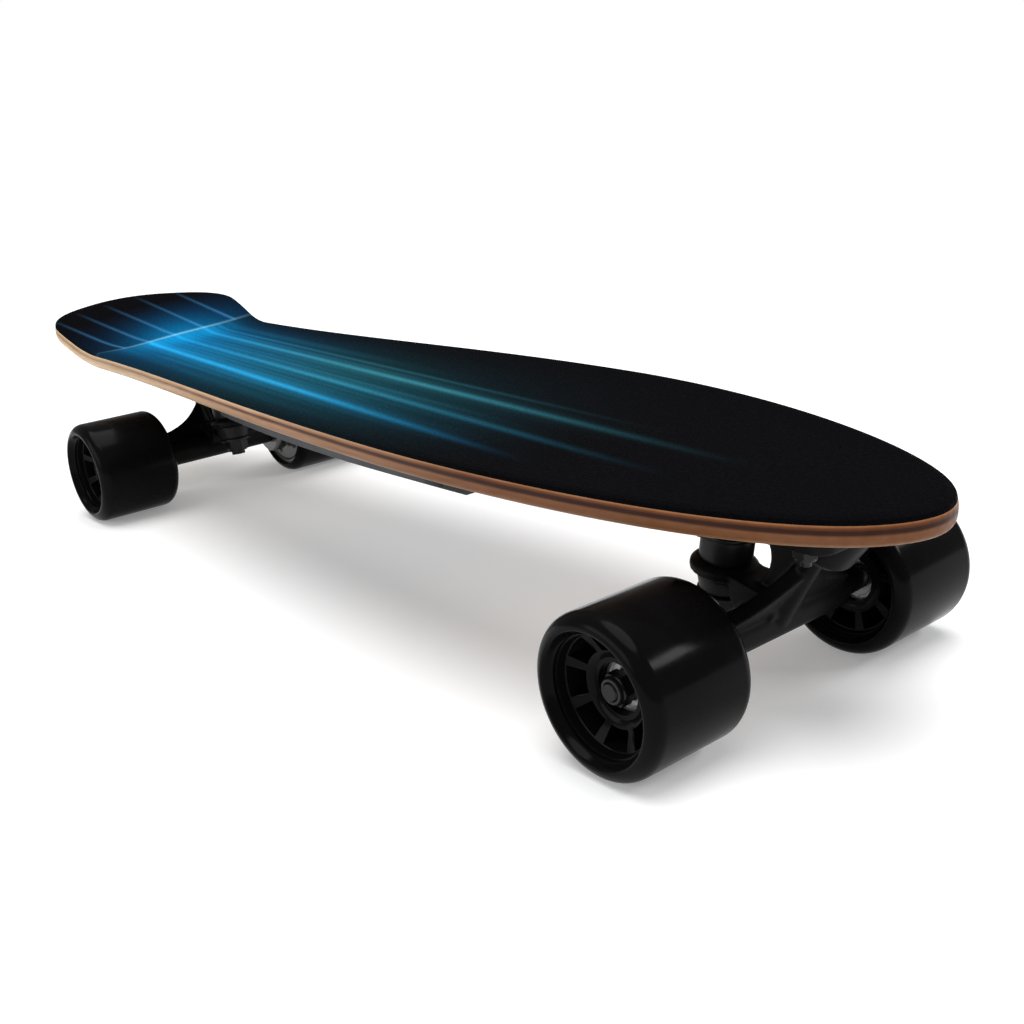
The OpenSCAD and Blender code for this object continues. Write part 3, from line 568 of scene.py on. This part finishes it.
def even_outline():
    """The whole plan as evenly spaced points, from the nose's tip round by the left side."""
    half = half_outline()
    loop = half + [(x, -y) for x, y in half[-2:0:-1]]
    lengths = [0.0]
    for a, b in zip(loop, loop[1:] + loop[:1]):
        lengths.append(lengths[-1] + math.dist(a, b))
    count = 2 * round(lengths[-1] / OUTLINE_STEP / 2)
    loop.append(loop[0])
    points, k = [], 0
    for i in range(count):
        target = lengths[-1] * i / count
        while lengths[k + 1] < target:
            k += 1
        share = (target - lengths[k]) / max(lengths[k + 1] - lengths[k], 1e-9)
        points.append(Vector(loop[k]).lerp(Vector(loop[k + 1]), share))
    return points


outline = even_outline()
inward = []
for i, point in enumerate(outline):
    along = outline[(i + 1) % len(outline)] - outline[i - 1]
    inward.append(Vector((-along.y, along.x)).normalized())


def surface(x, y, lift):
    """Height of a sheet that lies lift above the deck's top face."""
    rise = CONCAVE * max(0, abs(y) - FLAT_BAND) ** 2 + lift
    radius = KICK_R - rise
    reach = radius * math.sin(KICK_ANGLE)
    back = KICK_X - x
    if back <= 0:
        return DECK_TOP + rise
    if back < reach:
        return DECK_TOP + KICK_R - math.sqrt(radius * radius - back * back)
    return DECK_TOP + KICK_R - radius * math.cos(KICK_ANGLE) + (back - reach) * math.tan(KICK_ANGLE)


def edge_drop(inset):
    """How far the rounded edge lies below the top face at this distance from the outline."""
    if inset >= EDGE_ROUND:
        return 0.0
    share = (1 - (1 - inset / EDGE_ROUND) ** EDGE_POWER) ** (1 / EDGE_POWER)
    return DECK_T / 2 * (1 - share)


def inset_outline(inset):
    return [p + n * inset for p, n in zip(outline, inward)]


def ring(inset, lift):
    return [Vector((p.x, p.y, surface(p.x, p.y, lift))) for p in inset_outline(inset)]


def core_rings(inset, lift, count):
    """Rings from this inset to the deck's spine."""
    start = inset_outline(inset)
    spine_low = -HALF_LEN + SPINE_FROM_TAIL
    spine_high = HALF_LEN - SPINE_FROM_NOSE
    rings = []
    for k in range(1, count + 1):
        share = k / count
        row = []
        for p in start:
            spine = Vector((min(max(p.x, spine_low), spine_high), 0))
            q = p.lerp(spine, share)
            row.append(Vector((q.x, q.y, surface(q.x, q.y, lift))))
        rings.append(row)
    return rings


def skin(rings):
    """Faces between closed rings of equal length; the first and last rings lie on the spine."""
    count = len(rings[0])
    points = [p for row in rings for p in row]
    faces = []
    for r in range(len(rings) - 1):
        for i in range(count):
            j = (i + 1) % count
            faces.append((r * count + i, r * count + j, (r + 1) * count + j, (r + 1) * count + i))
    return points, faces


def deck_object(name, rings):
    """A closed skin given in the deck's own frame."""
    points, faces = skin(rings)
    return mesh_object(name, [ON_DECK @ p for p in points], faces)


def drill(piece, cutter):
    """Cuts the cutter's shape out of the piece and removes the cutter."""
    cut = piece.modifiers.new("drill", "BOOLEAN")
    cut.operation = "DIFFERENCE"
    cut.solver = "EXACT"
    cut.object = cutter
    bpy.context.view_layer.update()
    bake_modifiers(piece)
    bpy.data.objects.remove(cutter)


def bolt_places():
    """Bolt holes of both trucks in the deck's frame; each pattern lies outboard of its axle."""
    foot = (DECK_TOP - WHEEL_R) * math.sin(DECK_TILT)
    front, rear = (x * math.cos(DECK_TILT) + foot for x in (FRONT_X, REAR_X))
    middles = (front + PATTERN_X, rear - PATTERN_X)
    return [(middle + side * BOLT_SPAN[0] / 2, hand * BOLT_SPAN[1] / 2)
            for middle in middles for side in (-1, 1) for hand in (-1, 1)]


def hole_cutter(profile):
    """One object with a solid of revolution at each bolt."""
    points, faces = [], []
    for x, y in bolt_places():
        base = len(points)
        for k in range(CUTTER_SEGMENTS):
            turn = 2 * math.pi * k / CUTTER_SEGMENTS
            points += [ON_DECK @ Vector((x + r * math.cos(turn), y + r * math.sin(turn), z))
                       for r, z in profile]
        count = len(profile)
        for k in range(CUTTER_SEGMENTS):
            a, b = base + k * count, base + (k + 1) % CUTTER_SEGMENTS * count
            faces += [(a + i, b + i, b + i + 1, a + i + 1) for i in range(count - 1)]
    return mesh_object("cutter", points, faces)


def add_depth(piece):
    """Writes how deep each point of the deck lies below its top face, from 0 to 1."""
    depth = piece.data.attributes.new("depth", "FLOAT", "POINT")
    for k, vertex in enumerate(piece.data.vertices):
        x, y, z = OFF_DECK @ (vertex.co / MM)
        depth.data[k].value = min(max((surface(x, y, 0) - z) * math.cos(slope(x)) / DECK_T, 0), 1)


def slope(x):
    return math.asin(min(max((KICK_X - x) / KICK_R, 0), math.sin(KICK_ANGLE)))


def build_deck():
    turns = [math.pi * (0.5 - k / EDGE_STEPS) for k in range(EDGE_STEPS + 1)]
    edge = []
    for turn in turns:
        inset = EDGE_ROUND * (1 - max(0, math.cos(turn)) ** (2 / EDGE_POWER))
        drop = DECK_T / 2 * (1 - math.copysign(abs(math.sin(turn)) ** (2 / EDGE_POWER), math.sin(turn)))
        edge.append(ring(inset, -drop))
    top = core_rings(EDGE_ROUND, 0, CORE_RINGS)[::-1]
    under = core_rings(EDGE_ROUND, -DECK_T, CORE_RINGS)
    piece = deck_object("deck_board", top + edge + under)
    drill(piece, hole_cutter([
        (0, CUTTER_LOW), (BOLT_HOLE_R, CUTTER_LOW), (BOLT_HOLE_R, DECK_TOP - HEAD_FOOT),
        (BOLT_HEAD_R, DECK_TOP - HEAD_TOP), (BOLT_HEAD_R, CUTTER_HIGH), (0, CUTTER_HIGH)]))
    smooth(piece, 32)
    add_depth(piece)
    place(piece, "board", "maple", ("deck",), maple)


def build_grip():
    """The abrasive sheet, whose rim follows the deck's rounded edge down."""
    inner = EDGE_ROUND + 0.4
    insets = (GRIP_INSET, GRIP_INSET + 0.15, GRIP_INSET + 0.6, inner)
    lifts = (0.35, 0.85, 1.0, 1.0)
    rim = [ring(inset, lift * GRIP_T - edge_drop(inset)) for inset, lift in zip(insets, lifts)]
    tuck = [ring(GRIP_INSET, -edge_drop(GRIP_INSET) - 0.3), ring(inner, -GRIP_UNDER)]
    top = core_rings(inner, GRIP_T, GRIP_RINGS)[::-1]
    under = core_rings(inner, -GRIP_UNDER, CORE_RINGS)
    piece = deck_object("grip_sheet", top + rim[::-1] + tuck + under)
    smooth(piece, 40)
    place(piece, "board", "grip", ("grip_tape",), grip)


# ---- Wheels ----------------------------------------------------------------------------

WHEELS = {
    "front_right": (FRONT_X, -1),
    "front_left": (FRONT_X, 1),
    "rear_right": (REAR_X, -1),
    "motor": (REAR_X, 1),
}


def wheel_matrix(x, side):
    """A wheel's own frame, with +Z outboard."""
    place = Matrix.Translation((x, side * WHEEL_Y, WHEEL_R))
    return place @ Matrix.Rotation(math.radians(-90 * side), 4, "X")


def tyre_profile():
    """Outline of the cast tyre: round lips, a dished ring inside each lip and a straight bore."""
    half = WHEEL_W / 2
    outer = arc(WHEEL_R - LIP_R, half - LIP_R, LIP_R, 0, 80)
    inner = [(r, -h) for r, h in reversed(outer)]
    steps = ((0, 0.2), (0.3, 0.5), (0.9, 1.6), (1.6, 3), (2.2, 4))
    dish = [(RECESS_R - inset, depth) for inset, depth in steps] + [(TYRE_BORE, 4.3)]
    return (outer + [(r, half - depth) for r, depth in dish]
            + [(r, depth - half) for r, depth in reversed(dish)] + inner)


def motor_tyre_profile():
    """Outline of the tyre that is cast straight onto the motor's can."""
    half = WHEEL_W / 2
    outer = arc(WHEEL_R - LIP_R, half - LIP_R, LIP_R, 0, 78)
    rim = [(MOTOR_BORE + 0.2, half - 0.4), (MOTOR_BORE, half - 0.9), (MOTOR_BORE, 25.3)]
    upper = outer + rim + [(MOTOR_BORE - 0.5, 25)]
    return upper + [(r, -h) for r, h in reversed(upper)]


def build_tyres():
    for name, (x, side) in WHEELS.items():
        profile = motor_tyre_profile() if name == "motor" else tyre_profile()
        node = name + "_tyre"
        lathe(node + "_cast", profile, wheel_matrix(x, side), 160, body=name + "_wheel",
              slot="wheel_urethane", replaces=(node,), material=wheel_urethane)


# ---- Trucks ----------------------------------------------------------------------------


def truck_matrix(end):
    """A truck's own frame: origin at the middle of its axle, +X outboard."""
    x = FRONT_X if end == "front" else REAR_X
    turn = Matrix.Identity(4) if end == "front" else Matrix.Rotation(math.pi, 4, "Z")
    return Matrix.Translation((x, 0, WHEEL_R)) @ LEAN @ turn


def kingpin_matrix(end):
    """Origin at the middle of the hanger's ring, +Z up the kingpin."""
    lean = Matrix.Rotation(KINGPIN_LEAN, 4, "Y")
    return truck_matrix(end) @ Matrix.Translation((-RING_BACK, 0, RING_UP)) @ lean


def build_bushings(end):
    """Soft urethane rings that bulge a little, set round the kingpin at the hanger's ring."""
    frame_of = kingpin_matrix(end)
    upper = [(5, 2.9), (10.6, 2.9), (11.4, 3.3), (11.8, 4.2), (12, 6), (12, 12.5), (11.8, 14.3),
             (11.4, 15.2), (10.6, 15.6), (5, 15.6)]
    lower = [(5, -2.9), (10.8, -2.9), (11.6, -3.3), (11.9, -4.2), (11.6, -6.2), (10.9, -9), (10.3, -11.4),
             (10, -12.2), (9.4, -12.6), (5, -12.6)]
    for side, profile, soft in (("upper", upper, upper_bush), ("lower", lower, lower_bush)):
        dense = []
        for (r0, h0), (r1, h1) in zip(profile, profile[1:] + profile[:1]):
            parts = max(1, round(math.dist((r0, h0), (r1, h1)) / BUSHING_STEP))
            dense += [(r0 + (r1 - r0) * k / parts, h0 + (h1 - h0) * k / parts) for k in range(parts)]
        node = f"{end}_{side}_bushing"
        piece = lathe(node + "_soft", dense, frame_of, 72, slot=f"{side}_urethane",
                      replaces=(node,), material=soft)
        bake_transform(piece)


def build_trucks():
    for end in ("front", "rear"):
        casting(end + "_hanger", 0.7, 10, end + "_truck", "black_cast", black_cast)
        casting(end + "_baseplate", 0.7, 6, "board", "black_cast", black_cast)
        bevelled(end + "_riser_pad", 0.4, riser)
        bevelled(end + "_pivot_cup", 0.3, cup)
        bevelled(end + "_kingpin", 0.5, black_zinc)
        bevelled(end + "_kingpin_nut", 0.5, black_zinc)
        bevelled(end + "_bushing_washers", 0.3, black_zinc)
        build_bushings(end)
        bevelled(end + "_axle", 0.2, black_zinc)
    for node in ("front_axle_nuts", "rear_axle_nut"):
        bevelled(node, 0.4, black_steel)
    for node in ("front_wheel_spacers", "rear_wheel_spacers"):
        bevelled(node, 0.15, zinc)
    bevelled("deck_bolts", 0.1, black_steel)
    bevelled("deck_nuts", 0.35, black_steel)


def build_cores():
    for name in ("front_right", "front_left", "rear_right"):
        bevelled(name + "_core", 0.8, core_plastic, segments=3)
        bevelled(name + "_bearings", 0.25, zinc)


# ---- Motor and electronics -------------------------------------------------------------


def dress_motor():
    bevelled("motor_can", 0.3, motor_steel)
    bevelled("motor_magnets", 0.2, magnet)
    bevelled("motor_covers", 0.4, motor_alloy)
    bevelled("motor_cover_screws", 0.15, black_steel)
    bevelled("motor_bearings", 0.2, zinc)
    bevelled("motor_axle", 0.4, motor_alloy)
    bevelled("motor_stator", 0.15, motor_steel)
    bevelled("motor_windings", 0.9, copper, segments=3)


def dress_box():
    bevelled("enclosure", 0.9, box_plastic, segments=3)
    bevelled("enclosure_gasket", 0.2, riser)
    bevelled("enclosure_screws", 0.2, black_steel)
    bevelled("battery_cells", 0.5, cell_wrap)
    bevelled("battery_holders", 0.3, holder)
    bevelled("battery_board", 0.15, circuit_board)
    bevelled("controller_board", 0.15, circuit_board)
    bevelled("controller_heatsink", 0.25, heatsink)
    bevelled("power_switch", 0.3, switch_metal)
    bevelled("power_button", 0.3, button)
    bevelled("status_light", 0.2, light_lens)
    bevelled("charge_socket", 0.2, socket_plastic)
    bevelled("charge_port_flap", 0.3, flap_rubber)
    bevelled("cable_gland", 0.3, socket_plastic)


build_deck()
build_grip()
build_tyres()
build_trucks()
build_cores()
dress_motor()
dress_box()

# ---- Stage -----------------------------------------------------------------------------

VIEW_FROM = (0.60356, -0.38193, 0.25014)  # metres
VIEW_AZIMUTH = 52.11
VIEW_ELEVATION = 17.964
VIEW_ROLL = -4.964
LENS = 42.914
FLOOR_REACH = 30  # metres
CEILING_STRENGTH = 2.7
CEILING_SPREAD = math.radians(55)
AMBIENT = 0.33
SURROUND = 1.0
FLOOR_GLOW = 0.22  # lifts the shadow under the board
LIGHT_DISTANCE = 2.2  # metres


def add_camera():
    azimuth, elevation, roll = (math.radians(a) for a in (VIEW_AZIMUTH, VIEW_ELEVATION, VIEW_ROLL))
    flat = math.cos(elevation)
    back = Vector((math.sin(azimuth) * flat, -math.cos(azimuth) * flat, math.sin(elevation)))
    right = Vector((0, 0, 1)).cross(back).normalized()
    up = back.cross(right)
    turned_right = right * math.cos(roll) + up * math.sin(roll)
    turned_up = up * math.cos(roll) - right * math.sin(roll)
    data = bpy.data.cameras.new("camera")
    data.lens = LENS
    data.clip_start = 0.01
    camera = bpy.data.objects.new("camera", data)
    bpy.context.scene.collection.objects.link(camera)
    turned = Matrix((turned_right, turned_up, back)).transposed().to_4x4()
    camera.matrix_world = Matrix.Translation(VIEW_FROM) @ turned
    bpy.context.scene.camera = camera


def add_softbox(name, direction, size, watts):
    """A rectangular soft light in this direction from the board, facing it, with its size in metres."""
    data = bpy.data.lights.new(name, "AREA")
    data.shape = "RECTANGLE"
    data.size, data.size_y = size
    data.energy = watts
    box = bpy.data.objects.new(name, data)
    away = Vector(direction).normalized()
    box.location = away * LIGHT_DISTANCE + Vector((0, 0, AIM_HEIGHT))
    box.rotation_mode = "QUATERNION"
    box.rotation_quaternion = away.to_track_quat("Z", "Y")
    bpy.context.scene.collection.objects.link(box)


def add_top_light():
    """A wide, even light from overhead, as from a studio's whole ceiling."""
    data = bpy.data.lights.new("ceiling", "SUN")
    data.energy = CEILING_STRENGTH
    data.angle = CEILING_SPREAD
    bpy.context.scene.collection.objects.link(bpy.data.objects.new("ceiling", data))


def add_floor():
    mesh = bpy.data.meshes.new("floor")
    corners = [(x * FLOOR_REACH, y * FLOOR_REACH, 0) for x, y in ((-1, -1), (1, -1), (1, 1), (-1, 1))]
    mesh.from_pydata(corners, [], [(0, 1, 2, 3)])
    floor = bpy.data.objects.new("floor", mesh)
    bpy.context.scene.collection.objects.link(floor)
    look = Look("floor", Specular_IOR_Level=0.1, Emission_Strength=FLOOR_GLOW, Emission_Color=(1, 1, 1))
    drift = look.noise(0.8)
    look.set("Base_Color", look.ramp(drift, (0.3, grey(0.86)), (0.7, grey(0.9))))
    look.set("Roughness", look.range(drift, 0.3, 0.7, 0.7, 0.8))
    mesh.materials.append(look.material)


def add_world():
    """A pale studio: the camera sees a white surround, and the object is lit by a dimmer one."""
    world = bpy.data.worlds.new("studio")
    world.use_nodes = True
    tree = world.node_tree
    ambient = tree.nodes["Background"]
    ambient.inputs["Color"].default_value = (0.95, 0.97, 1, 1)
    ambient.inputs["Strength"].default_value = AMBIENT
    surround = tree.nodes.new("ShaderNodeBackground")
    surround.inputs["Color"].default_value = (1, 1, 1, 1)
    surround.inputs["Strength"].default_value = SURROUND
    path = tree.nodes.new("ShaderNodeLightPath")
    mixed = tree.nodes.new("ShaderNodeMixShader")
    tree.links.new(path.outputs["Is Camera Ray"], mixed.inputs[0])
    tree.links.new(ambient.outputs[0], mixed.inputs[1])
    tree.links.new(surround.outputs[0], mixed.inputs[2])
    tree.links.new(mixed.outputs[0], tree.nodes["World Output"].inputs[0])
    bpy.context.scene.world = world
    bpy.context.scene.view_settings.view_transform = "Standard"


add_camera()
add_floor()
add_world()
add_top_light()
add_softbox("right_back", (0.6, 0.62, 0.5), (0.9, 0.3), 13)
add_softbox("left_front", (-0.25, -1, 0.35), (2.0, 0.8), 15)
